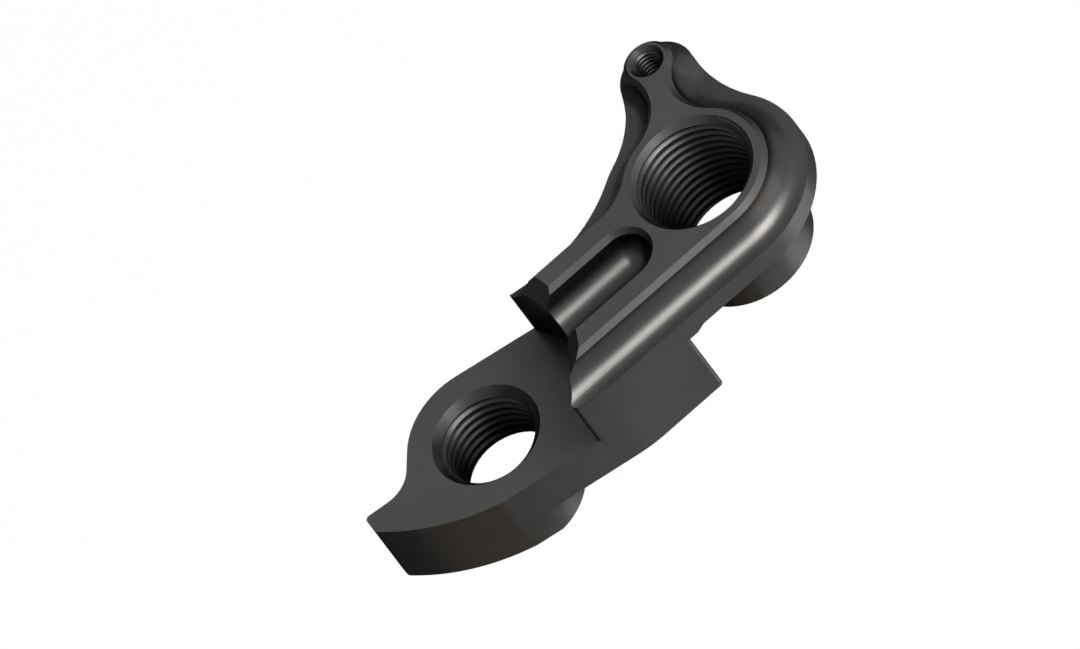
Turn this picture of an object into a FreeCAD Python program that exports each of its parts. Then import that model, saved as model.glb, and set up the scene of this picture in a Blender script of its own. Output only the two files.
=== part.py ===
import FreeCAD, Part
import math
import os

import Sketcher

# Bicycle derailleur hanger, machined from one aluminium block.
# The origin is on the axis of the thru-axle thread, in the plane of the face that seats on the
# frame. +Z points outboard along that axis, and +X points from the derailleur thread to the
# thru-axle thread. The sketches count depth from the arm's outboard face, which the body's
# placement then lifts above the seat.

NODE = "hanger"
doc = FreeCAD.newDocument("derailleur_hanger")

# Driving sizes: lengths in mm, angles in degrees
SIZES = [
    ("bore_spacing", 29.57, "thru-axle axis to derailleur axis"),
    ("screw_x", 4.1, "retaining screw, along the arm"),
    ("screw_y", 13.6, "retaining screw, up from the thru-axle axis"),
    ("total_depth", 16.47, "arm face to inboard face of the derailleur plate"),
    ("plate_face_depth", 8.75, "arm face down to the derailleur face"),
    ("block_depth", 13.25, "arm face to the end of the key block"),
    ("spigot_depth", 12.75, "arm face to the end of the spigot"),
    ("seat_depth", 5.05, "arm face to the face that seats on the frame"),
    ("land_step", 0.4, "land left around the seat, proud of it"),
    ("land_inner_radius", 13.3, "start of the ramp from the seat to the land"),
    ("land_ramp", 0.6, "width of that ramp"),
    ("dropout_radius", 14.15, "rounded end of the frame's dropout, about the axle"),
    ("spigot_radius", 6.8, "round spigot that enters the dropout"),
    ("spigot_break", 0.2, "broken edge at the end of the spigot"),
    ("end_radius", 10.3, "outer round of the arm about the thru-axle"),
    ("boss_radius", 3.72, "outer round about the retaining screw"),
    ("front_neck_radius", 13.5, "hollow round between axle end and screw boss, at the front"),
    ("rear_neck_radius", 10.8, "the same on the derailleur's side"),
    ("back_hollow_radius", 16.0, "long hollow round behind the arm"),
    ("back_slope", 12.5, "slope of the back edge, derailleur lobe to arm"),
    ("lobe_radius", 7.85, "round of the plate about the derailleur thread"),
    ("lobe_slope", 53.0, "slope of the edge that leaves the lobe for the stop"),
    ("stop_hollow_radius", 3.5, "hollow round between lobe and stop"),
    ("stop_top_slope", 8.0, "slope of the top edge of the stop"),
    ("stop_tip_x", 13.33, "reach of the stop beyond the derailleur axis"),
    ("stop_tip_y", 2.03, "height of the stop"),
    ("stop_side_slope", 86.0, "slope of the stop's side that meets the screw"),
    ("stop_tip_round", 0.45, "round at the stop's upper corner"),
    ("stop_heel_round", 0.7, "round at the stop's lower corner"),
    ("belly_x", 4.23, "centre of the long lower round, from the derailleur axis to the arm"),
    ("belly_y", 13.76, "centre of the long lower round, up from that axis"),
    ("belly_radius", 22.42, "long lower round of the plate"),
    ("rail_slope", 11.75, "slope of the lower edge beside the key block"),
    ("rail_round", 15.0, "round from that slope to the arm's straight edge"),
    ("rail_round_x", 12.22, "where it meets the straight edge, from the derailleur axis to the arm"),
    ("clearance_radius", 11.43, "clearance cut for the derailleur's knuckle"),
    ("clearance_chamfer", 1.5, "chamfer at the top of the clearance cut"),
    ("tip_break", 0.2, "taken off the sharp tip between the clearance cut and the arm's back"),
    ("corner_round", 0.4, "rounded upright corners of the block"),
    ("face_radius", 6.87, "edge of the outboard face about the thru-axle"),
    ("face_back_y", 3.0, "back edge of the outboard face"),
    ("face_boss_radius", 1.95, "edge of the outboard face about the screw"),
    ("face_neck_radius", 5.5, "hollow rounds of the face at the neck"),
    ("face_back_radius", 6.0, "hollow round of the face behind the axle"),
    ("edge_chamfer", 0.5, "chamfer on the edge of the outboard face and slot"),
    ("cove_radius", 2.5, "ball-nose cove round the arm, and slot"),
    ("cove_floor", 2.0, "flat ground beyond the cove by the same cutter"),
    ("slot_y", 1.95, "slot centre line, below the thru-axle axis"),
    ("slot_end_x", 9.75, "centre of the slot's round end"),
    ("axle_minor_radius", 5.5, "core of the thru-axle thread, M12 x 1"),
    ("axle_lead_in", 0.65, "outboard countersink of that thread"),
    ("axle_lead_out", 0.55, "inboard countersink of that thread"),
    ("derailleur_minor_radius", 4.5, "core of the derailleur thread, M10 x 1"),
    ("derailleur_lead_in", 0.88, "outboard countersink of that thread"),
    ("derailleur_lead_out", 0.62, "inboard countersink of that thread"),
    ("screw_minor_radius", 1.25, "core of the screw thread, M3 x 0.5"),
    ("screw_lead_in", 0.5, "outboard countersink of that thread"),
    ("screw_lead_out", 0.3, "inboard countersink of that thread"),
    ("toe_x", 0.91, "centre of the inboard step's toe round, beyond the derailleur axis"),
    ("toe_y", 1.64, "centre of the toe round, below that axis"),
    ("toe_radius", 6.41, "toe round on the inboard step"),
    ("toe_sweep", 46.0, "turn of the toe round"),
    ("step_fillet", 4.0, "round where the inboard step turns up"),
    ("step_wall_x", 8.57, "upright wall of the inboard step, from the derailleur axis to the arm"),
    ("clear_of_part", 30.0, "how far the open cuts run past the part"),
    ("overrun", 0.5, "how far a cutter starts outside the metal"),
]

sheet = doc.addObject("Spreadsheet::Sheet", "Sizes")
for row, (alias, value, meaning) in enumerate(SIZES, start=1):
    sheet.set("A%d" % row, alias)
    sheet.set("B%d" % row, str(value))
    sheet.set("C%d" % row, meaning)
    sheet.setAlias("B%d" % row, alias)
doc.recompute()

body = doc.addObject("PartDesign::Body", "Hanger")
body.Label = NODE
body.setExpression("Placement.Base.z", "Sizes.seat_depth")

START, END, MIDDLE = range(1, 4)
ROOT = X_AXIS = -START
SMALL = 0.001


def size(alias):
    return float(sheet.get(alias))


class Bound:
    """A length together with the formula that gives it on the sheet."""

    def __init__(self, value, formula):
        self.value = value
        self.formula = formula

    def __add__(self, other):
        return Bound(self.value + other.value, "%s + %s" % (self.formula, other.formula))

    def __sub__(self, other):
        return Bound(self.value - other.value, "%s - (%s)" % (self.formula, other.formula))

    def __neg__(self):
        return Bound(-self.value, "-(%s)" % self.formula)


def cell(alias):
    return Bound(size(alias), "Sizes." + alias)


def share(alias, degrees):
    """The run along X of a radius that leans at an angle."""
    value = size(alias) * math.cos(math.radians(degrees))
    return Bound(value, "Sizes.%s * cos(%g deg)" % (alias, degrees))


NOUGHT = Bound(0.0, "0")


def origin_plane(role):
    for feature in body.Origin.OriginFeatures:
        if feature.Role == role:
            return feature
    raise ValueError(role)


def new_sketch(name, role="XY_Plane", x=NOUGHT, y=NOUGHT, z=NOUGHT):
    """A sketch on an origin plane, shifted by bound lengths in that plane's own axes."""
    sketch = body.newObject("Sketcher::SketchObject", name)
    sketch.AttachmentSupport = [(origin_plane(role), "")]
    sketch.MapMode = "FlatFace"
    shift = FreeCAD.Vector(x.value, y.value, z.value)
    sketch.AttachmentOffset = FreeCAD.Placement(shift, FreeCAD.Rotation())
    for axis, length in (("x", x), ("y", y), ("z", z)):
        if length is not NOUGHT:
            sketch.setExpression("AttachmentOffset.Base.%s" % axis, length.formula)
    return sketch


def point(x, y):
    return FreeCAD.Vector(x, y, 0)


def polar(centre, radius, degrees):
    angle = math.radians(degrees)
    return point(centre.x + radius * math.cos(angle), centre.y + radius * math.sin(angle))


def heading(start, end):
    return math.degrees(math.atan2(end.y - start.y, end.x - start.x))


def crossing(normal_a, height_a, normal_b, height_b):
    """The point that lies at two heights along two unit normals."""
    turn = normal_a.x * normal_b.y - normal_a.y * normal_b.x
    x = (height_a * normal_b.y - height_b * normal_a.y) / turn
    y = (normal_a.x * height_b - normal_b.x * height_a) / turn
    return point(x, y)


def touching_centre(centre_a, reach_a, centre_b, reach_b, side):
    """The point at two distances from two centres, on the left (1) or right (-1) of a to b."""
    span = centre_a.distanceToPoint(centre_b)
    along = (reach_a ** 2 - reach_b ** 2 + span ** 2) / (2 * span)
    across = side * math.sqrt(reach_a ** 2 - along ** 2)
    unit = (centre_b - centre_a) / span
    return centre_a + unit * along + point(-unit.y, unit.x) * across


def add_line(sketch, start, end):
    return sketch.addGeometry(Part.LineSegment(start, end), False)


def add_arc(sketch, centre, radius, start, end):
    """An arc from the angle start, anticlockwise, to the angle end."""
    circle = Part.Circle(centre, FreeCAD.Vector(0, 0, 1), radius)
    arc = Part.ArcOfCircle(circle, math.radians(start), math.radians(end))
    return sketch.addGeometry(arc, False)


def constrain(sketch, kind, *where):
    return sketch.addConstraint(Sketcher.Constraint(kind, *where))


def bind(sketch, formula, kind, *where):
    index = constrain(sketch, kind, *where)
    sketch.setExpression("Constraints[%d]" % index, formula)


def place(sketch, piece, end, x=None, y=None):
    """Ties a point of the sketch to bound coordinates."""
    for kind, length in (("DistanceX", x), ("DistanceY", y)):
        if length is None:
            continue
        if length.value < 0:
            bind(sketch, "-(%s)" % length.formula, kind, piece, end, ROOT, START, -length.value)
        else:
            bind(sketch, length.formula, kind, ROOT, START, piece, end, length.value)


def bind_radius(sketch, arc, alias):
    bind(sketch, "Sizes." + alias, "Radius", arc, size(alias))


def bind_slope(sketch, line, turned, alias, sign):
    """Sets a line's heading: a fixed turn plus or minus the angle in a cell."""
    degrees = turned + sign * size(alias)
    formula = "(%d + %d * Sizes.%s) * 1 deg" % (turned, sign, alias)
    bind(sketch, formula, "Angle", line, math.radians(degrees))


def join(sketch, kind, links):
    """Joins pieces end to end, each link naming two pieces and the ends that meet."""
    for before, before_end, after, after_end in links:
        constrain(sketch, kind, before, before_end, after, after_end)


def chain(sketch, corners):
    """Straight lines from corner to corner, left open. Returns them."""
    lines = [add_line(sketch, start, end) for start, end in zip(corners, corners[1:])]
    join(sketch, "Coincident", [(a, END, b, START) for a, b in zip(lines, lines[1:])])
    return lines


def bound_chain(sketch, corners):
    """The same through corners whose coordinates are bound to the sheet."""
    lines = chain(sketch, [point(x.value, y.value) for x, y in corners])
    for line, (x, y) in zip(lines, corners):
        place(sketch, line, START, x, y)
    place(sketch, lines[-1], END, *corners[-1])
    return lines


def bound_outline(sketch, corners):
    """Closed straight outline through bound corners."""
    lines = bound_chain(sketch, corners)
    first, last = corners[0], corners[-1]
    closing = add_line(sketch, point(last[0].value, last[1].value), point(first[0].value, first[1].value))
    join(sketch, "Coincident", [(lines[-1], END, closing, START), (closing, END, lines[0], START)])


def square_off(sketch, lines, kinds):
    for line, kind in zip(lines, kinds):
        constrain(sketch, kind, line)


def check_cut(feature):
    """Rebuilds, and stops the build unless the cut took metal away and left a sound solid."""
    doc.recompute()
    before = feature.BaseFeature.Shape.Volume
    if feature.Shape.isNull() or not feature.Shape.isValid():
        raise RuntimeError(feature.Name + " left no sound solid")
    if feature.Shape.Volume > before - SMALL:
        raise RuntimeError(feature.Name + " took no metal away")


def cut(sketch, name, depth=None):
    """A pocket from a sketch: down to a bound depth, or right through."""
    pocket = body.newObject("PartDesign::Pocket", name)
    pocket.Profile = sketch
    if depth is None:
        pocket.Type = "ThroughAll"
    else:
        pocket.setExpression("Length", depth.formula)
    check_cut(pocket)


def turn(sketch, name):
    """A full groove about the sketch's own upright axis."""
    groove = body.newObject("PartDesign::Groove", name)
    groove.Profile = sketch
    groove.ReferenceAxis = (sketch, ["V_Axis"])
    groove.Angle = 360
    check_cut(groove)


AXLE = point(0, 0)
DERAILLEUR = point(-size("bore_spacing"), 0)
SCREW = point(size("screw_x"), size("screw_y"))

# Outer profile, round the axle end and the screw boss
end_r = size("end_radius")
front_r = size("front_neck_radius")
rear_r = size("rear_neck_radius")
boss_r = size("boss_radius")
neck_right = touching_centre(AXLE, end_r + front_r, SCREW, boss_r + front_r, -1)
neck_left = touching_centre(AXLE, end_r + rear_r, SCREW, boss_r + rear_r, 1)

# Outer profile, back edge from the arm to the derailleur lobe
hollow_r = size("back_hollow_radius")
lobe_r = size("lobe_radius")
back_up = 90 - size("back_slope")
back_normal = polar(AXLE, 1, back_up)
back_height = DERAILLEUR.dot(back_normal) + lobe_r
back_reach = math.sqrt((end_r + hollow_r) ** 2 - (back_height + hollow_r) ** 2)
back_centre = back_normal * (back_height + hollow_r) + polar(AXLE, back_reach, back_up + 90)
back_foot = back_centre - back_normal * hollow_r
lobe_top = polar(DERAILLEUR, lobe_r, back_up)

# Outer profile, the stop for the derailleur's adjusting screw
lobe_leave = 90 + size("lobe_slope")
lobe_end = polar(DERAILLEUR, lobe_r, lobe_leave)
top_slope = size("stop_top_slope")
tip = DERAILLEUR + point(-size("stop_tip_x"), size("stop_tip_y"))
tip_r = size("stop_tip_round")
stop_hollow = size("stop_hollow_radius")
top_normal = polar(AXLE, 1, 90 - top_slope)
lobe_normal = polar(AXLE, 1, lobe_leave)
hollow_top = tip.dot(top_normal) + stop_hollow
hollow_lobe = lobe_end.dot(lobe_normal) + stop_hollow
stop_centre = crossing(top_normal, hollow_top, lobe_normal, hollow_lobe)
side_normal = polar(AXLE, 1, 90 + size("stop_side_slope"))
side_height = tip.dot(side_normal)
tip_centre = crossing(top_normal, tip.dot(top_normal) - tip_r, side_normal, side_height - tip_r)
heel_r = size("stop_heel_round")
belly = DERAILLEUR + point(size("belly_x"), size("belly_y"))
belly_r = size("belly_radius")
heel_along = side_height - heel_r - belly.dot(side_normal)
heel_drop = math.sqrt((belly_r - heel_r) ** 2 - heel_along ** 2)
heel_centre = belly + side_normal * heel_along + point(-side_normal.y, side_normal.x) * heel_drop

# Outer profile, lower edge beside the key block
rail_centre = DERAILLEUR + point(size("rail_round_x"), size("rail_round") - end_r)
rail_down = -90 - size("rail_slope")
rail_end = polar(rail_centre, size("rail_round"), rail_down)
rail_normal = polar(AXLE, 1, rail_down)
rail_gap = rail_end.dot(rail_normal) - belly.dot(rail_normal)
rail_left = polar(AXLE, 1, rail_down - 90)
rail_start = belly + rail_normal * rail_gap + rail_left * math.sqrt(belly_r ** 2 - rail_gap ** 2)

# Outer profile as a tangent chain, anticlockwise from the straight lower edge
profile = new_sketch("profile")
bottom = add_line(profile, point(rail_centre.x, -end_r), point(0, -end_r))
end_front = add_arc(profile, AXLE, end_r, -90, heading(AXLE, neck_right))
right_hollow = add_arc(profile, neck_right, front_r, heading(neck_right, SCREW), heading(neck_right, AXLE))
boss = add_arc(profile, SCREW, boss_r, heading(SCREW, neck_right), heading(SCREW, neck_left))
left_hollow = add_arc(profile, neck_left, rear_r, heading(neck_left, AXLE), heading(neck_left, SCREW))
end_back = add_arc(profile, AXLE, end_r, heading(AXLE, neck_left), heading(AXLE, back_centre))
back_hollow = add_arc(profile, back_centre, hollow_r, back_up + 180, heading(back_centre, AXLE))
back_edge = add_line(profile, back_foot, lobe_top)
lobe = add_arc(profile, DERAILLEUR, lobe_r, back_up, lobe_leave)
lobe_edge = add_line(profile, lobe_end, stop_centre - lobe_normal * stop_hollow)
stop_round = add_arc(profile, stop_centre, stop_hollow, 270 - top_slope, lobe_leave + 180)
stop_top = add_line(profile, stop_centre - top_normal * stop_hollow, tip_centre + top_normal * tip_r)
tip_round = add_arc(profile, tip_centre, tip_r, 90 - top_slope, heading(AXLE, side_normal))
stop_side = add_line(profile, tip_centre + side_normal * tip_r, heel_centre + side_normal * heel_r)
heel_out = heading(belly, heel_centre)
heel_round = add_arc(profile, heel_centre, heel_r, heading(AXLE, side_normal), heel_out)
belly_arc = add_arc(profile, belly, belly_r, heel_out, heading(belly, rail_start))
rail = add_line(profile, rail_start, rail_end)
rail_arc = add_arc(profile, rail_centre, size("rail_round"), rail_down, -90)
join(profile, "Tangent", [
    (bottom, END, end_front, START),
    (end_front, END, right_hollow, END),
    (right_hollow, START, boss, START),
    (boss, END, left_hollow, END),
    (left_hollow, START, end_back, START),
    (end_back, END, back_hollow, END),
    (back_hollow, START, back_edge, START),
    (back_edge, END, lobe, START),
    (lobe, END, lobe_edge, START),
    (lobe_edge, END, stop_round, END),
    (stop_round, START, stop_top, START),
    (stop_top, END, tip_round, START),
    (tip_round, END, stop_side, START),
    (stop_side, END, heel_round, START),
    (heel_round, END, belly_arc, START),
    (rail, END, rail_arc, START),
    (rail_arc, END, bottom, START),
])
constrain(profile, "Coincident", belly_arc, END, rail, START)
for arc in (end_front, end_back):
    constrain(profile, "Coincident", arc, MIDDLE, ROOT, START)
    bind_radius(profile, arc, "end_radius")
for arc, alias in (
    (right_hollow, "front_neck_radius"),
    (left_hollow, "rear_neck_radius"),
    (boss, "boss_radius"),
    (back_hollow, "back_hollow_radius"),
    (lobe, "lobe_radius"),
    (stop_round, "stop_hollow_radius"),
    (tip_round, "stop_tip_round"),
    (heel_round, "stop_heel_round"),
    (belly_arc, "belly_radius"),
    (rail_arc, "rail_round"),
):
    bind_radius(profile, arc, alias)
place(profile, boss, MIDDLE, cell("screw_x"), cell("screw_y"))
place(profile, lobe, MIDDLE, -cell("bore_spacing"), NOUGHT)
place(profile, belly_arc, MIDDLE, cell("belly_x") - cell("bore_spacing"), cell("belly_y"))
rail_x = cell("rail_round_x") - cell("bore_spacing")
place(profile, rail_arc, MIDDLE, rail_x, cell("rail_round") - cell("end_radius"))
bind_slope(profile, back_edge, 180, "back_slope", -1)
bind_slope(profile, lobe_edge, 180, "lobe_slope", 1)
bind_slope(profile, stop_top, 180, "stop_top_slope", -1)
bind_slope(profile, stop_side, 180, "stop_side_slope", 1)
bind_slope(profile, rail, 0, "rail_slope", -1)
tip_corner = profile.addGeometry(Part.Point(tip), True)
constrain(profile, "PointOnObject", tip_corner, START, stop_top)
constrain(profile, "PointOnObject", tip_corner, START, stop_side)
place(profile, tip_corner, START, -cell("bore_spacing") - cell("stop_tip_x"), cell("stop_tip_y"))

blank = body.newObject("PartDesign::Pad", "blank")
blank.Profile = profile
blank.setExpression("Length", "Sizes.total_depth")
blank.Reversed = True
doc.recompute()

# Clearance cut: everything outboard of the derailleur face, round the derailleur axis
CUT_SWEEP = 75
far = cell("clear_of_part")
clearance_r = size("clearance_radius")
clearance = new_sketch("clearance")
upper = polar(DERAILLEUR, clearance_r, CUT_SWEEP)
lower = polar(DERAILLEUR, clearance_r, -CUT_SWEEP)
far_left = -cell("bore_spacing") - far
cut_wall = add_arc(clearance, DERAILLEUR, clearance_r, -CUT_SWEEP, CUT_SWEEP)
sides = chain(clearance, [
    upper,
    point(upper.x, far.value),
    point(far_left.value, far.value),
    point(far_left.value, -far.value),
    point(lower.x, -far.value),
    lower,
])
join(clearance, "Coincident", [(cut_wall, END, sides[0], START), (sides[-1], END, cut_wall, START)])
square_off(clearance, sides, ("Vertical", "Horizontal", "Vertical", "Horizontal", "Vertical"))
place(clearance, cut_wall, MIDDLE, -cell("bore_spacing"), NOUGHT)
bind_radius(clearance, cut_wall, "clearance_radius")
place(clearance, sides[2], START, far_left, far)
place(clearance, sides[2], END, y=-far)
constrain(clearance, "Symmetric", cut_wall, START, cut_wall, END, X_AXIS)
place(clearance, cut_wall, END, x=share("clearance_radius", CUT_SWEEP) - cell("bore_spacing"))
cut(clearance, "clearance_cut", cell("plate_face_depth"))

# Broken tip where that cut runs out at the arm's back, drawn along the slope of the back edge
over = cell("overrun")
tip_flat = new_sketch("tip_flat", x=-cell("bore_spacing"))
leaning = FreeCAD.Rotation(FreeCAD.Vector(0, 0, -1), size("back_slope"))
tip_flat.AttachmentOffset = FreeCAD.Placement(tip_flat.AttachmentOffset.Base, leaning)
tip_flat.setExpression("AttachmentOffset.Rotation.Angle", "Sizes.back_slope * 1 deg")
back = cell("lobe_radius")
tip_reach = math.sqrt(clearance_r ** 2 - back.value ** 2)
tip_x = Bound(tip_reach, "sqrt(Sizes.clearance_radius ^ 2 - %s ^ 2)" % back.formula)
bound_outline(tip_flat, [
    (tip_x - over, back - over),
    (tip_x + cell("tip_break"), back - over),
    (tip_x + cell("tip_break"), back + over),
    (tip_x - over, back + over),
])
cut(tip_flat, "tip_cut", cell("plate_face_depth"))

# Room for the frame's dropout: round about the axle, with the spigot left standing
LAND_FROM = 120
LAND_TO = 250
dropout = new_sketch("dropout", z=-cell("seat_depth") - cell("land_step"))
dropout_r = size("dropout_radius")
first = polar(AXLE, dropout_r, LAND_FROM)
last = polar(AXLE, dropout_r, LAND_TO)
block_wall = add_arc(dropout, AXLE, dropout_r, LAND_FROM, LAND_TO)
sides = chain(dropout, [
    last,
    point(last.x, -far.value),
    point(far.value, -far.value),
    point(far.value, far.value),
    point(first.x, far.value),
    first,
])
join(dropout, "Coincident", [(block_wall, END, sides[0], START), (sides[-1], END, block_wall, START)])
square_off(dropout, sides, ("Vertical", "Horizontal", "Vertical", "Horizontal", "Vertical"))
constrain(dropout, "Coincident", block_wall, MIDDLE, ROOT, START)
bind_radius(dropout, block_wall, "dropout_radius")
place(dropout, sides[2], START, y=-far)
place(dropout, sides[2], END, far, far)
place(dropout, block_wall, START, x=share("dropout_radius", LAND_FROM))
place(dropout, block_wall, END, x=share("dropout_radius", LAND_TO))
spigot = dropout.addGeometry(Part.Circle(AXLE, FreeCAD.Vector(0, 0, 1), size("spigot_radius")), False)
constrain(dropout, "Coincident", spigot, MIDDLE, ROOT, START)
bind_radius(dropout, spigot, "spigot_radius")
cut(dropout, "dropout_room")

# Inboard step: only the derailleur lobe reaches the full depth
toe = DERAILLEUR - point(size("toe_x"), size("toe_y"))
toe_r = size("toe_radius")
toe_to = size("toe_sweep") - 90
toe_end = polar(toe, toe_r, toe_to)
toe_normal = polar(AXLE, 1, toe_to)
turn_r = size("step_fillet")
wall_x = DERAILLEUR.x + size("step_wall_x")
turn_centre = crossing(toe_normal, toe_end.dot(toe_normal) - turn_r, point(1, 0), wall_x - turn_r)
step = new_sketch("inboard_step", z=-cell("block_depth"))
toe_arc = add_arc(step, toe, toe_r, -90, toe_to)
slant = add_line(step, toe_end, polar(turn_centre, turn_r, toe_to))
turn_arc = add_arc(step, turn_centre, turn_r, toe_to, 0)
sides = chain(step, [
    point(wall_x, turn_centre.y),
    point(wall_x, far.value),
    point(far.value, far.value),
    point(far.value, -far.value),
    point(toe.x, -far.value),
    point(toe.x, toe.y - toe_r),
])
join(step, "Tangent", [
    (toe_arc, END, slant, START),
    (slant, END, turn_arc, START),
    (turn_arc, END, sides[0], START),
])
constrain(step, "Coincident", sides[-1], END, toe_arc, START)
square_off(step, sides, ("Vertical", "Horizontal", "Vertical", "Horizontal", "Vertical"))
toe_x = -cell("bore_spacing") - cell("toe_x")
place(step, toe_arc, MIDDLE, toe_x, -cell("toe_y"))
place(step, toe_arc, START, x=toe_x)
bind_radius(step, toe_arc, "toe_radius")
bind_slope(step, slant, 0, "toe_sweep", 1)
bind_radius(step, turn_arc, "step_fillet")
place(step, sides[0], END, x=cell("step_wall_x") - cell("bore_spacing"))
place(step, sides[1], END, far, far)
place(step, sides[2], END, y=-far)
cut(step, "inboard_cut")

# Seat round the spigot, with a ramp up to a narrow land, and the end of the spigot
seat = new_sketch("seat", "XZ_Plane")
seat_z = -cell("seat_depth")
land_z = seat_z - cell("land_step")
ramp_end = cell("land_inner_radius") + cell("land_ramp")
spigot_x = cell("spigot_radius")
spigot_z = -cell("spigot_depth")
block_z = -cell("block_depth")
edge = cell("spigot_break")
bound_outline(seat, [
    (spigot_x, seat_z),
    (cell("land_inner_radius"), seat_z),
    (ramp_end, land_z),
    (ramp_end, land_z - over),
    (spigot_x, land_z - over),
])
bound_outline(seat, [
    (NOUGHT, spigot_z),
    (spigot_x - edge, spigot_z),
    (spigot_x, spigot_z + edge),
    (spigot_x + over, spigot_z + edge),
    (spigot_x + over, block_z - over),
    (NOUGHT, block_z - over),
])
turn(seat, "seat_face")

# Edge of the outboard face, which the cove follows from the clearance cut round and back
face_r = size("face_radius")
face_neck = size("face_neck_radius")
face_boss = size("face_boss_radius")
face_back = size("face_back_radius")
back_y = size("face_back_y")
neck_front = touching_centre(AXLE, face_r + face_neck, SCREW, face_boss + face_neck, -1)
neck_rear = touching_centre(AXLE, face_r + face_neck, SCREW, face_boss + face_neck, 1)
bend_y = back_y + face_back
bend = point(-math.sqrt((face_r + face_back) ** 2 - bend_y ** 2), bend_y)
path = new_sketch("face_edge")
near = add_line(path, point(DERAILLEUR.x, -face_r), point(0, -face_r))
round_end = add_arc(path, AXLE, face_r, -90, heading(AXLE, neck_front))
front_hollow = add_arc(path, neck_front, face_neck, heading(neck_front, SCREW), heading(neck_front, AXLE))
round_boss = add_arc(path, SCREW, face_boss, heading(SCREW, neck_front), heading(SCREW, neck_rear))
rear_hollow = add_arc(path, neck_rear, face_neck, heading(neck_rear, AXLE), heading(neck_rear, SCREW))
round_back = add_arc(path, AXLE, face_r, heading(AXLE, neck_rear), heading(AXLE, bend))
back_bend = add_arc(path, bend, face_back, -90, heading(bend, AXLE))
rear = add_line(path, point(bend.x, back_y), point(DERAILLEUR.x, back_y))
join(path, "Tangent", [
    (near, END, round_end, START),
    (round_end, END, front_hollow, END),
    (front_hollow, START, round_boss, START),
    (round_boss, END, rear_hollow, END),
    (rear_hollow, START, round_back, START),
    (round_back, END, back_bend, END),
    (back_bend, START, rear, START),
])
for arc in (round_end, round_back):
    constrain(path, "Coincident", arc, MIDDLE, ROOT, START)
    bind_radius(path, arc, "face_radius")
for arc in (front_hollow, rear_hollow):
    bind_radius(path, arc, "face_neck_radius")
bind_radius(path, round_boss, "face_boss_radius")
bind_radius(path, back_bend, "face_back_radius")
place(path, round_boss, MIDDLE, cell("screw_x"), cell("screw_y"))
square_off(path, (near, rear), ("Horizontal", "Horizontal"))
place(path, rear, END, -cell("bore_spacing"), cell("face_back_y"))
place(path, near, START, x=-cell("bore_spacing"))

# Cove: one ball-nose pass along that edge, leaving a chamfer above it
cove = new_sketch("cove_section", "YZ_Plane", z=-cell("bore_spacing"))
chamfer = cell("edge_chamfer")
ball = cell("cove_radius")
lip = -cell("face_radius") - chamfer
ground = -chamfer - ball
lines = bound_chain(cove, [
    (lip - ball, ground),
    (lip - ball - cell("cove_floor"), ground),
    (lip - ball - cell("cove_floor"), over),
    (-cell("face_radius") + over, over),
    (lip, -chamfer),
])
ball_arc = add_arc(cove, point((lip - ball).value, -chamfer.value), ball.value, -90, 0)
join(cove, "Coincident", [(lines[-1], END, ball_arc, END), (ball_arc, START, lines[0], START)])
bind_radius(cove, ball_arc, "cove_radius")
cove_cut = body.newObject("PartDesign::SubtractivePipe", "cove_cut")
cove_cut.Profile = cove
cove_cut.Spine = (path, [])
cove_cut.Mode = "Binormal"
cove_cut.Binormal = FreeCAD.Vector(0, 0, 1)
check_cut(cove_cut)

# Slot in the outboard face, cut by the same tool: a straight run and a round end
slot_run = new_sketch("slot_section", "YZ_Plane", z=-cell("slot_end_x"))
middle = -cell("slot_y")
wide = ball + chamfer + over
lines = bound_chain(slot_run, [
    (middle + ball, -chamfer),
    (middle + wide, over),
    (middle - wide, over),
    (middle - ball, -chamfer),
])
floor_arc = add_arc(slot_run, point(middle.value, -chamfer.value), ball.value, 180, 360)
join(slot_run, "Coincident", [(lines[-1], END, floor_arc, START), (floor_arc, END, lines[0], START)])
place(slot_run, floor_arc, MIDDLE, y=-chamfer)
cut(slot_run, "slot_run_cut", cell("bore_spacing") - cell("slot_end_x"))

slot_end = new_sketch("slot_end", "XZ_Plane", x=-cell("slot_end_x"), z=cell("slot_y"))
lines = bound_chain(slot_end, [
    (NOUGHT, ground),
    (NOUGHT, over),
    (wide, over),
    (ball, -chamfer),
])
end_arc = add_arc(slot_end, point(0, -chamfer.value), ball.value, -90, 0)
join(slot_end, "Coincident", [(lines[-1], END, end_arc, END), (end_arc, START, lines[0], START)])
bind_radius(slot_end, end_arc, "cove_radius")
turn(slot_end, "slot_end_cut")

# Chamfer round the top of the clearance cut
rim = new_sketch("clearance_rim", "XZ_Plane", x=-cell("bore_spacing"))
rim_r = cell("clearance_radius")
rim_c = cell("clearance_chamfer")
bound_outline(rim, [
    (rim_r - over, over),
    (rim_r - over, -rim_c),
    (rim_r, -rim_c),
    (rim_r + rim_c + over, over),
])
turn(rim, "clearance_rim_cut")


def threaded_hole(name, x, y, top, bottom):
    """A thread's core hole between two depths, with a countersink at each end."""
    core = cell(name + "_minor_radius")
    lead_in = cell(name + "_lead_in")
    lead_out = cell(name + "_lead_out")
    bore = new_sketch(name + "_bore", "XZ_Plane", x=x, z=-y)
    bound_outline(bore, [
        (NOUGHT, top + over),
        (NOUGHT, bottom - over),
        (core + lead_out + over, bottom - over),
        (core, bottom + lead_out),
        (core, top - lead_in),
        (core + lead_in + over, top + over),
    ])
    turn(bore, name + "_hole")


# The three threaded holes, at their core size
threaded_hole("axle", NOUGHT, NOUGHT, NOUGHT, -cell("spigot_depth"))
threaded_hole("derailleur", -cell("bore_spacing"), NOUGHT, -cell("plate_face_depth"), -cell("total_depth"))
threaded_hole("screw", cell("screw_x"), cell("screw_y"), NOUGHT, -cell("seat_depth"))


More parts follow.
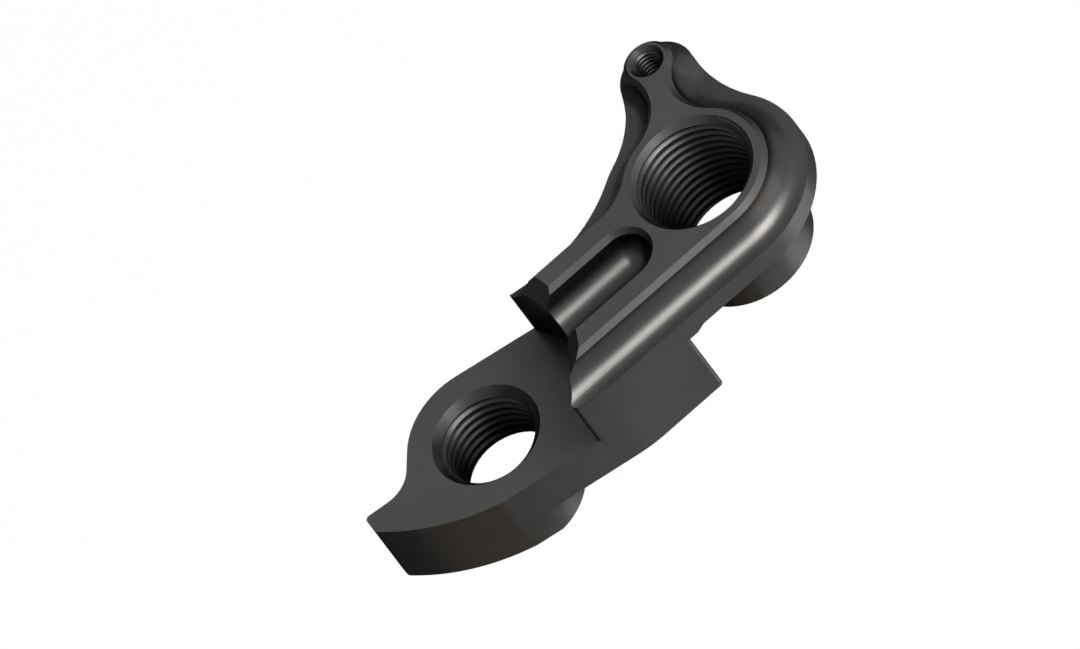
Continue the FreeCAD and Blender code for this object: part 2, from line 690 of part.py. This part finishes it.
def upright_corners(shape, radius, centre):
    """The straight upright edges that stand on a circle about a centre, lowest in Y first."""
    found = []
    for index, edge in enumerate(shape.Edges, start=1):
        ends = [point(vertex.Point.x, vertex.Point.y) for vertex in edge.Vertexes]
        upright = len(ends) == 2 and ends[0].distanceToPoint(ends[1]) < SMALL
        if upright and abs(ends[0].distanceToPoint(centre) - radius) < SMALL:
            found.append((ends[0].y, "Edge%d" % index))
    return [name for height, name in sorted(found)]


# Rounded upright corners: the clearance cut's lower one and both ends of the key block
base = body.Tip
corners = upright_corners(base.Shape, clearance_r, DERAILLEUR)[:1]
corners += upright_corners(base.Shape, dropout_r, AXLE)
rounds = body.newObject("PartDesign::Fillet", "corner_rounds")
rounds.Base = (base, corners)
rounds.setExpression("Radius", "Sizes.corner_round")
check_cut(rounds)

# Checks and the finished shape
loose = [item.Name for item in doc.findObjects("Sketcher::SketchObject") if not item.FullyConstrained]
if loose:
    raise RuntimeError("sketches that can still move: " + ", ".join(loose))
broken = [item.Name for item in doc.Objects if {"Invalid", "Error"} & set(item.State)]
if broken:
    raise RuntimeError("failed objects: " + ", ".join(broken))
shape = body.Shape
if shape.isNull() or not shape.isValid() or len(shape.Solids) != 1:
    raise RuntimeError("the hanger is not one valid solid")
os.makedirs("parts", exist_ok=True)
shape.exportStep("parts/%s.step" % body.Label)
print("%s: %.1f cubic mm" % (body.Label, shape.Volume))
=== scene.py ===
import bmesh
import bpy
import math
from mathutils import Matrix, Vector


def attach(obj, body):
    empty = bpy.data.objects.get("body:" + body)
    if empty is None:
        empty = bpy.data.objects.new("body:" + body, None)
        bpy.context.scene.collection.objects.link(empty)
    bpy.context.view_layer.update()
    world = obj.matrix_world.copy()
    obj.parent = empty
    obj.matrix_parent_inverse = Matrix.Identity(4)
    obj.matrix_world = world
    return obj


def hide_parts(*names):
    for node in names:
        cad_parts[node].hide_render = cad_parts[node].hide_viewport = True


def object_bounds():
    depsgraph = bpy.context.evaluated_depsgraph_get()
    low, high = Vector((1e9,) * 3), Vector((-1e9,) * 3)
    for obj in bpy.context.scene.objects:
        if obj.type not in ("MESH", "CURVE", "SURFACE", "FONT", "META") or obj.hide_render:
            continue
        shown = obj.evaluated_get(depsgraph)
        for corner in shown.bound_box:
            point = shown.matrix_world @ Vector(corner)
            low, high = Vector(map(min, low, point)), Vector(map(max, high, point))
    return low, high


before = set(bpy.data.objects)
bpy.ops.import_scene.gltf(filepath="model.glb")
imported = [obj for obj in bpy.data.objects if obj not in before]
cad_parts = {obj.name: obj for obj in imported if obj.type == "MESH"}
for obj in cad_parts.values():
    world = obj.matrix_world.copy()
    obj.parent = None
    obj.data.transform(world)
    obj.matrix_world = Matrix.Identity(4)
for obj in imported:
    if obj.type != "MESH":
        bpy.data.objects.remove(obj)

cad_low, cad_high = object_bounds()

# ---------------------------------------------------------------------------------------------
# Hanger: one block of aluminium, milled all over, bead-blasted and anodised black. The arm
# carries two ball-nose coves and the slot, and the thick plate behind it holds the derailleur.
# ---------------------------------------------------------------------------------------------
MM = 0.001
WELD = 0.002 * MM
SLIVER = WELD / 10
CREASE = math.radians(24)
ANODISED_DARK = (0.064, 0.0632, 0.062, 1)
ANODISED_LIGHT = (0.076, 0.0752, 0.074, 1)
EDGE_SHEEN = (0.4, 0.4, 0.4, 1)
CLOUD_RIMS = (0.3, 0.7)
SMOOTHEST = 0.27
ROUGHEST = 0.39
CLOUDS_EACH_METRE = 160
GRAINS_EACH_METRE = 5200
GRAIN_STRENGTH = 0.25
GRAIN_HEIGHT = 0.01 * MM
# Painted shade in hollows: the distance it reaches, how fast it falls and its darkest level.
PAINTED_SHADE_REACH = 10 * MM
PAINTED_SHADE_FALL = 4.0
DARKEST_PAINTED_SHADE = 0.4


def wire(tree, source, output, target, entry):
    """Joins an output of one node to an input of another."""
    tree.links.new(source.outputs[output], target.inputs[entry])


work = bmesh.new()
work.from_mesh(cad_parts["hanger"].data)
bmesh.ops.remove_doubles(work, verts=work.verts, dist=WELD)
bmesh.ops.dissolve_degenerate(work, dist=SLIVER, edges=work.edges)
bmesh.ops.recalc_face_normals(work, faces=work.faces)
work.verts.index_update()
points = [vertex.co.copy() for vertex in work.verts]
facets = [[vertex.index for vertex in face.verts] for face in work.faces]
work.free()
hanger_mesh = bpy.data.meshes.new("hanger_milled")
hanger_mesh.from_pydata(points, [], facets)
hanger = bpy.data.objects.new("hanger_milled", hanger_mesh)
bpy.context.collection.objects.link(hanger)

anodised = bpy.data.materials.new("black_anodised_aluminium")
anodised.use_nodes = True
coating = anodised.node_tree
steps = coating.nodes
metal = steps["Principled BSDF"]
metal.inputs["Metallic"].default_value = 1.0
metal.inputs["Specular Tint"].default_value = EDGE_SHEEN
where = steps.new("ShaderNodeTexCoord")

# Colour: faint clouds between two blacks.
cloud = steps.new("ShaderNodeTexNoise")
cloud.inputs["Scale"].default_value = CLOUDS_EACH_METRE
cloud.inputs["Detail"].default_value = 5
wire(coating, where, "Object", cloud, "Vector")
shade = steps.new("ShaderNodeValToRGB")
shade.color_ramp.elements[0].position = CLOUD_RIMS[0]
shade.color_ramp.elements[0].color = ANODISED_DARK
shade.color_ramp.elements[1].position = CLOUD_RIMS[1]
shade.color_ramp.elements[1].color = ANODISED_LIGHT
wire(coating, cloud, "Fac", shade, "Fac")

# Painted shade: the colour goes darker in hollows, by how closed in each point is.
hollow_shade = steps.new("ShaderNodeAmbientOcclusion")
hollow_shade.samples = 8
hollow_shade.inputs["Distance"].default_value = PAINTED_SHADE_REACH
depth = steps.new("ShaderNodeMath")
depth.operation = "POWER"
depth.inputs[1].default_value = PAINTED_SHADE_FALL
wire(coating, hollow_shade, "AO", depth, 0)
dim = steps.new("ShaderNodeMapRange")
dim.inputs["To Min"].default_value = DARKEST_PAINTED_SHADE
dim.inputs["To Max"].default_value = 1.0
wire(coating, depth, "Value", dim, "Value")
# Base colour: the clouds times the painted shade.
tone_and_painted_shade = steps.new("ShaderNodeMix")
tone_and_painted_shade.name = "tone_and_painted_shade"
tone_and_painted_shade.data_type = "RGBA"
tone_and_painted_shade.blend_type = "MULTIPLY"
tone_and_painted_shade.inputs["Factor"].default_value = 1.0
wire(coating, shade, "Color", tone_and_painted_shade, 6)
wire(coating, dim, "Result", tone_and_painted_shade, 7)
wire(coating, tone_and_painted_shade, 2, metal, "Base Color")

# Surface: the fine grain that blasting leaves, in the sheen and as a slight relief.
grain = steps.new("ShaderNodeTexNoise")
grain.inputs["Scale"].default_value = GRAINS_EACH_METRE
grain.inputs["Detail"].default_value = 3
wire(coating, where, "Object", grain, "Vector")
sheen = steps.new("ShaderNodeMapRange")
sheen.inputs["To Min"].default_value = SMOOTHEST
sheen.inputs["To Max"].default_value = ROUGHEST
wire(coating, grain, "Fac", sheen, "Value")
wire(coating, sheen, "Result", metal, "Roughness")
blast = steps.new("ShaderNodeBump")
blast.inputs["Strength"].default_value = GRAIN_STRENGTH
blast.inputs["Distance"].default_value = GRAIN_HEIGHT
wire(coating, grain, "Fac", blast, "Height")
wire(coating, blast, "Normal", metal, "Normal")

hanger_mesh.materials.append(anodised)

# ---------------------------------------------------------------------------------------------
# Threads: M12 x 1 for the thru-axle, M10 x 1 for the derailleur bolt and M3 x 0.5 for the
# retaining screw. They are right-handed, are tapped right through, and run out into the
# countersink at each end.
# ---------------------------------------------------------------------------------------------
FLANK_SLOPE = math.tan(math.radians(30))
MOUTH_SHARE = 0.75
STEPS_EACH_TURN = 96
LEAD_ON = 0.1 * MM
# Painted shade in the threads: its darkest level and how fast it falls.
DARKEST_THREAD_SHADE = 0.07
THREAD_SHADE_FALL = 2.8
LEVEL_FACE = 0.95
THREADS = (
    # name, x, y, low end, high end, core radius and pitch, in mm
    ("axle_thread", 0, 0, -9.09, 5.16, 5.5, 1.0),
    ("derailleur_thread", -29.57, 0, -12.01, -3.76, 4.5, 1.0),
    ("screw_thread", 4.1, 13.6, -0.56, 5.065, 1.25, 0.5),
)


def thread_tap():
    """A helical ridge about Z, whose section is the groove of one thread."""
    tree = bpy.data.node_groups.new("thread_tap", "GeometryNodeTree")
    for name, kind in (
        ("Groove radius", "NodeSocketFloat"),
        ("Groove depth", "NodeSocketFloat"),
        ("Mouth width", "NodeSocketFloat"),
        ("Root width", "NodeSocketFloat"),
        ("Pitch", "NodeSocketFloat"),
        ("Turns", "NodeSocketFloat"),
        ("Steps each turn", "NodeSocketInt"),
        ("Start", "NodeSocketVector"),
        ("Finish", "NodeSocketMaterial"),
    ):
        tree.interface.new_socket(name, in_out="INPUT", socket_type=kind)
    tree.interface.new_socket("Tap", in_out="OUTPUT", socket_type="NodeSocketGeometry")
    given = tree.nodes.new("NodeGroupInput")

    rise = tree.nodes.new("ShaderNodeMath")
    rise.operation = "MULTIPLY"
    wire(tree, given, "Pitch", rise, 0)
    wire(tree, given, "Turns", rise, 1)
    helix = tree.nodes.new("GeometryNodeCurveSpiral")
    wire(tree, given, "Steps each turn", helix, "Resolution")
    wire(tree, given, "Turns", helix, "Rotations")
    wire(tree, given, "Groove radius", helix, "Start Radius")
    wire(tree, given, "Groove radius", helix, "End Radius")
    wire(tree, rise, "Value", helix, "Height")
    helix.inputs["Reverse"].default_value = True
    upright = tree.nodes.new("GeometryNodeSetCurveNormal")
    upright.mode = "Z_UP"
    wire(tree, helix, "Curve", upright, "Curve")

    section = tree.nodes.new("GeometryNodeCurvePrimitiveQuadrilateral")
    section.mode = "TRAPEZOID"
    wire(tree, given, "Groove depth", section, "Height")
    wire(tree, given, "Mouth width", section, "Bottom Width")
    wire(tree, given, "Root width", section, "Top Width")
    section.inputs["Offset"].default_value = 0
    outward = tree.nodes.new("GeometryNodeTransform")
    outward.inputs["Rotation"].default_value = (0, 0, math.radians(-90))
    wire(tree, section, "Curve", outward, "Geometry")

    ridge = tree.nodes.new("GeometryNodeCurveToMesh")
    ridge.inputs["Fill Caps"].default_value = True
    wire(tree, upright, "Curve", ridge, "Curve")
    wire(tree, outward, "Geometry", ridge, "Profile Curve")
    stand = tree.nodes.new("GeometryNodeTransform")
    wire(tree, ridge, "Mesh", stand, "Geometry")
    wire(tree, given, "Start", stand, "Translation")
    real = tree.nodes.new("GeometryNodeRealizeInstances")
    wire(tree, stand, "Geometry", real, "Geometry")
    coat = tree.nodes.new("GeometryNodeSetMaterial")
    wire(tree, real, "Geometry", coat, "Geometry")
    wire(tree, given, "Finish", coat, "Material")
    result = tree.nodes.new("NodeGroupOutput")
    wire(tree, coat, "Geometry", result, "Tap")
    return tree


TAP = thread_tap()


def tapped_material_with_painted_shade(name, low, high):
    """The anodised material with painted shade, darker from the mouth of a thread at high to its
    end at low.
    """
    shaded_copy = anodised.copy()
    shaded_copy.name = name
    tree = shaded_copy.node_tree
    place = tree.nodes.new("ShaderNodeTexCoord")
    height = tree.nodes.new("ShaderNodeSeparateXYZ")
    wire(tree, place, "Object", height, "Vector")
    along = tree.nodes.new("ShaderNodeMapRange")
    along.inputs["From Min"].default_value = low
    along.inputs["From Max"].default_value = high
    wire(tree, height, "Z", along, "Value")
    fade = tree.nodes.new("ShaderNodeMath")
    fade.operation = "POWER"
    fade.inputs[1].default_value = THREAD_SHADE_FALL
    wire(tree, along, "Result", fade, 0)
    left = tree.nodes.new("ShaderNodeMapRange")
    left.inputs["To Min"].default_value = DARKEST_THREAD_SHADE
    wire(tree, fade, "Value", left, "Value")
    # Painted shade: the colour is darker the further down the thread.
    deep = tree.nodes.new("ShaderNodeMix")
    deep.data_type = "RGBA"
    deep.blend_type = "MULTIPLY"
    deep.inputs["Factor"].default_value = 1.0
    wire(tree, tree.nodes["tone_and_painted_shade"], 2, deep, 6)
    wire(tree, left, "Result", deep, 7)
    wire(tree, deep, 2, tree.nodes["Principled BSDF"], "Base Color")
    return shaded_copy


def tap_thread(name, x, y, low, high, core, pitch):
    """Cuts a right-handed thread between two heights into the hole at x, y."""
    depth = pitch / 2
    mouth = pitch * MOUTH_SHARE
    root = mouth - 2 * depth * FLANK_SLOPE
    ridge_depth = depth + LEAD_ON
    tool = bpy.data.objects.new(name, bpy.data.meshes.new(name))
    bpy.context.collection.objects.link(tool)
    run = tool.modifiers.new("thread", "NODES")
    run.node_group = TAP
    sizes = {
        "Groove radius": core - LEAD_ON + ridge_depth / 2,
        "Groove depth": ridge_depth,
        "Mouth width": mouth + 2 * LEAD_ON * FLANK_SLOPE,
        "Root width": root,
        "Pitch": pitch,
        "Turns": (high - low) / pitch,
        "Steps each turn": STEPS_EACH_TURN,
        "Start": (x, y, low),
        "Finish": anodised,
    }
    for entry in TAP.interface.items_tree:
        if entry.in_out == "INPUT" and entry.name in sizes:
            run[entry.identifier] = sizes[entry.name]
    tool.update_tag()
    shapes = bpy.context.evaluated_depsgraph_get()
    ridge_mesh = bpy.data.meshes.new_from_object(tool.evaluated_get(shapes))
    tool.modifiers.remove(run)
    tool.data = ridge_mesh
    work = bmesh.new()
    work.from_mesh(ridge_mesh)
    bmesh.ops.recalc_face_normals(work, faces=work.faces)
    work.to_mesh(ridge_mesh)
    work.free()

    bite = hanger.modifiers.new(name, "BOOLEAN")
    bite.operation = "DIFFERENCE"
    bite.solver = "EXACT"
    bite.object = tool
    shapes = bpy.context.evaluated_depsgraph_get()
    threaded = bpy.data.meshes.new_from_object(hanger.evaluated_get(shapes))
    hanger.modifiers.remove(bite)
    hanger.data = threaded
    bpy.data.objects.remove(tool)

    # The wall and the flanks take the painted shade. The level faces round the hole keep the
    # plain material.
    threaded.materials.append(tapped_material_with_painted_shade(name, low, high - pitch))
    axis = Vector((x, y))
    for face in threaded.polygons:
        near = (face.center.xy - axis).length < core + pitch
        beside = low - pitch / 2 < face.center.z < high + pitch / 2
        if near and beside and abs(face.normal.z) < LEVEL_FACE:
            face.material_index = len(threaded.materials) - 1


for name, *lengths in THREADS:
    tap_thread(name, *(length * MM for length in lengths))
hanger.data.name = "hanger_milled"

for face in hanger.data.polygons:
    face.use_smooth = True
hanger.data.set_sharp_from_angle(angle=CREASE)
even = hanger.modifiers.new("even_faces", "WEIGHTED_NORMAL")
even.keep_sharp = True
even.weight = 100

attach(hanger, "root")
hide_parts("hanger")

# ---------------------------------------------------------------------------------------------
# Studio: a white floor well below the part and a white surround. One soft lamp stands overhead,
# a weak large one to the right at the part's own height, and a small one close by from below.
# ---------------------------------------------------------------------------------------------
FLOOR_DROP = 250 * MM
FLOOR_HALF = 3.0
PAPER_WHITE = (0.9, 0.9, 0.9, 1)
PAPER_ROUGHNESS = 0.9
FLOOR_GLOW = 0.95
SURROUND_LEVEL = 0.55
WARM_WHITE = (1.0, 0.975, 0.94)
AMBER_WHITE = (1.0, 0.91, 0.80)
COOL_WHITE = (1.0, 0.99, 0.98)
middle = (cad_low + cad_high) / 2

floor_mesh = bpy.data.meshes.new("floor")
floor_z = cad_low.z - FLOOR_DROP
corners = [
    (-FLOOR_HALF, -FLOOR_HALF, floor_z),
    (FLOOR_HALF, -FLOOR_HALF, floor_z),
    (FLOOR_HALF, FLOOR_HALF, floor_z),
    (-FLOOR_HALF, FLOOR_HALF, floor_z),
]
floor_mesh.from_pydata(corners, [], [(0, 1, 2, 3)])
floor = bpy.data.objects.new("floor", floor_mesh)
bpy.context.collection.objects.link(floor)


def seen_directly(tree):
    """1 for a ray from the camera, a mirror or a clear surface, and 0 for other light."""
    path = tree.nodes.new("ShaderNodeLightPath")
    both = tree.nodes.new("ShaderNodeMath")
    both.operation = "MAXIMUM"
    wire(tree, path, "Is Camera Ray", both, 0)
    wire(tree, path, "Is Glossy Ray", both, 1)
    every = tree.nodes.new("ShaderNodeMath")
    every.operation = "MAXIMUM"
    wire(tree, both, "Value", every, 0)
    wire(tree, path, "Is Transmission Ray", every, 1)
    return every


paper = bpy.data.materials.new("white_paper")
paper.use_nodes = True
tree = paper.node_tree
matt = tree.nodes["Principled BSDF"]
matt.inputs["Base Color"].default_value = PAPER_WHITE
matt.inputs["Roughness"].default_value = PAPER_ROUGHNESS
glow = tree.nodes.new("ShaderNodeEmission")
share = tree.nodes.new("ShaderNodeMath")
share.operation = "MULTIPLY"
wire(tree, seen_directly(tree), "Value", share, 0)
share.inputs[1].default_value = FLOOR_GLOW
blend = tree.nodes.new("ShaderNodeMixShader")
wire(tree, share, "Value", blend, 0)
wire(tree, matt, "BSDF", blend, 1)
wire(tree, glow, "Emission", blend, 2)
wire(tree, blend, "Shader", tree.nodes["Material Output"], "Surface")
floor_mesh.materials.append(paper)

surround = bpy.data.worlds.new("white_surround")
surround.use_nodes = True
tree = surround.node_tree
level = tree.nodes.new("ShaderNodeMapRange")
level.inputs["To Min"].default_value = SURROUND_LEVEL
level.inputs["To Max"].default_value = 1.0
wire(tree, seen_directly(tree), "Value", level, "Value")
tree.nodes["Background"].inputs["Color"].default_value = (1, 1, 1, 1)
wire(tree, level, "Result", tree.nodes["Background"], "Strength")
bpy.context.scene.world = surround


def soft_lamp(name, direction, distance, side, radiance, tint):
    """A square lamp that faces the part. Radiance is its brightness, whatever its size."""
    lamp = bpy.data.lights.new(name, "AREA")
    lamp.color = tint
    lamp.shape = "SQUARE"
    lamp.size = side
    lamp.energy = radiance * math.pi * side * side
    stand = bpy.data.objects.new(name, lamp)
    toward = Vector(direction).normalized()
    stand.location = middle + toward * distance
    stand.rotation_mode = "QUATERNION"
    stand.rotation_quaternion = toward.to_track_quat("Z", "Y")
    bpy.context.collection.objects.link(stand)


soft_lamp("key", (0.25, -0.38, 0.88), distance=0.5, side=0.26, radiance=16, tint=WARM_WHITE)
soft_lamp("fill", (0.74, -0.66, 0.05), distance=0.5, side=0.52, radiance=1.1, tint=AMBER_WHITE)
soft_lamp("low", (0.62, -0.32, -0.72), distance=0.22, side=0.14, radiance=2.0, tint=COOL_WHITE)

# ---------------------------------------------------------------------------------------------
# Dark card: three sheets, bent round behind the part and to its left. It is seen only where the
# metal mirrors it, so that the faces turned that way go dark as they do in the photograph.
# ---------------------------------------------------------------------------------------------
CARD_RADIUS = 220 * MM
CARD_TURN = (30, 248)
CARD_TILT = (-78, 34)
CARD_COLUMNS = 26
CARD_ROWS = 14
CARD_SHEETS = (
    # first column, name and colour
    (0, "grey_board", (0.30, 0.30, 0.31)),
    (9, "black_board", (0.11, 0.11, 0.11)),
    (20, "cream_board", (0.37, 0.335, 0.29)),
)


def between(ends, share):
    """The angle at a share of the way between two ends given in degrees."""
    return math.radians(ends[0] + (ends[1] - ends[0]) * share)


def on_card(column, row):
    """A point of the card, on a ball round the middle of the part."""
    turn = between(CARD_TURN, column / CARD_COLUMNS)
    tilt = between(CARD_TILT, row / CARD_ROWS)
    across = Vector((math.cos(turn), math.sin(turn), 0)) * math.cos(tilt)
    return middle + (across + Vector((0, 0, math.sin(tilt)))) * CARD_RADIUS


card_mesh = bpy.data.meshes.new("dark_card")
wide = CARD_COLUMNS + 1
card_points = [on_card(column, row) for row in range(CARD_ROWS + 1) for column in range(wide)]
card_faces = []
for row in range(CARD_ROWS):
    for column in range(CARD_COLUMNS):
        first = row * wide + column
        card_faces.append((first, first + wide, first + wide + 1, first + 1))
card_mesh.from_pydata(card_points, [], card_faces)
card = bpy.data.objects.new("dark_card", card_mesh)
bpy.context.collection.objects.link(card)
for number, (first_column, name, colour) in enumerate(CARD_SHEETS):
    board = bpy.data.materials.new(name)
    board.use_nodes = True
    matt = board.node_tree.nodes["Principled BSDF"]
    matt.inputs["Base Color"].default_value = (*colour, 1)
    matt.inputs["Roughness"].default_value = 1.0
    card_mesh.materials.append(board)
    for face in card_mesh.polygons:
        if face.index % CARD_COLUMNS >= first_column:
            face.material_index = number
card.visible_camera = False
card.visible_diffuse = False
card.visible_shadow = False
card.visible_transmission = False

# ---------------------------------------------------------------------------------------------
# Camera: a parallel view from above the arm's near side, turned as in the photograph. Its three
# directions and its aim were solved from the part's long edges and the rims of the holes.
# ---------------------------------------------------------------------------------------------
RIGHT = Vector((0.75044, -0.53248, -0.39155))
UP = Vector((0.65822, 0.54851, 0.51566))
BACK = Vector((-0.05981, -0.64470, 0.76211))
AIM = Vector((-19.532, -0.259, 3.298)) * MM
VIEW_WIDTH = 98.63 * MM
STAND_OFF = 300 * MM

lens = bpy.data.cameras.new("photo_view")
lens.type = "ORTHO"
lens.ortho_scale = VIEW_WIDTH
lens.clip_start = 10 * MM
lens.clip_end = 10.0
camera = bpy.data.objects.new("photo_view", lens)
turned = Matrix((RIGHT, UP, BACK)).transposed().to_4x4()
camera.matrix_world = Matrix.Translation(AIM + BACK * STAND_OFF) @ turned
bpy.context.collection.objects.link(camera)
bpy.context.scene.camera = camera
bpy.context.scene.view_settings.view_transform = "Standard"
